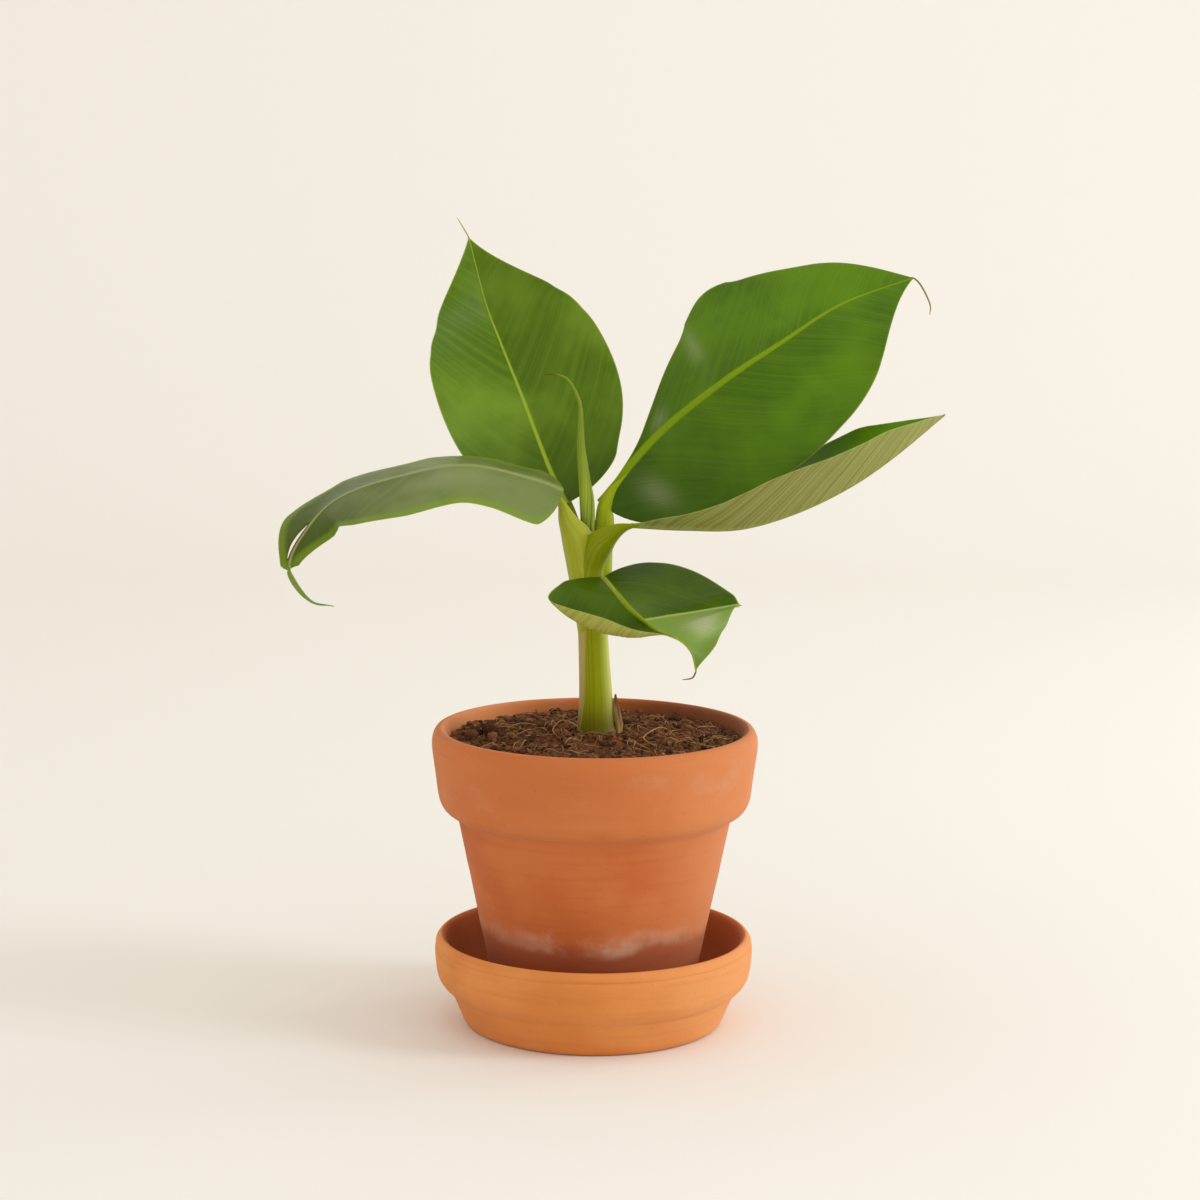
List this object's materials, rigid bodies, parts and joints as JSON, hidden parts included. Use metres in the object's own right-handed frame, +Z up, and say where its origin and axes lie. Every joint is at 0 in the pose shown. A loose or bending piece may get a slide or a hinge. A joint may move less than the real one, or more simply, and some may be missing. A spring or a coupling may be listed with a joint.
{
  "type": "potted banana plant",
  "caption": "Young banana plant with broad leaves and a rolled new leaf, growing from soil in a rimmed terracotta pot that stands in its saucer",
  "frame": {"origin": "centre of the saucer's flat underside", "axes": "+Z up along the pot's axis, -Y is the front that the picture shows, +X is the picture's right, where the two long leaves reach"},
  "size_m": [0.2788, 0.1396, 0.3439],
  "materials": {
    "saucer_clay": "matte",
    "pot_clay": "matte",
    "soil": "rough",
    "stem": "satin",
    "dry_sheath": "matte",
    "stalk": "satin",
    "rolled_leaf": "satin",
    "blade": "satin",
    "blade_pale": "satin"
  },
  "bodies": {
    "root": {"saucer": "saucer_clay", "pot": "pot_clay", "soil": "soil", "pseudostem": "stem", "sheath_stub": "dry_sheath", "stalk_front": "stalk", "stalk_lower_right": "stalk", "stalk_left": "stalk", "stalk_right": "stalk", "stalk_back": "stalk", "rolled_leaf": "rolled_leaf", "leaf_front": "blade", "leaf_lower_right": "blade", "leaf_left": "blade_pale", "leaf_left_tip": "blade_pale", "leaf_right": "blade", "leaf_back": "blade"}
  },
  "joints": []
}
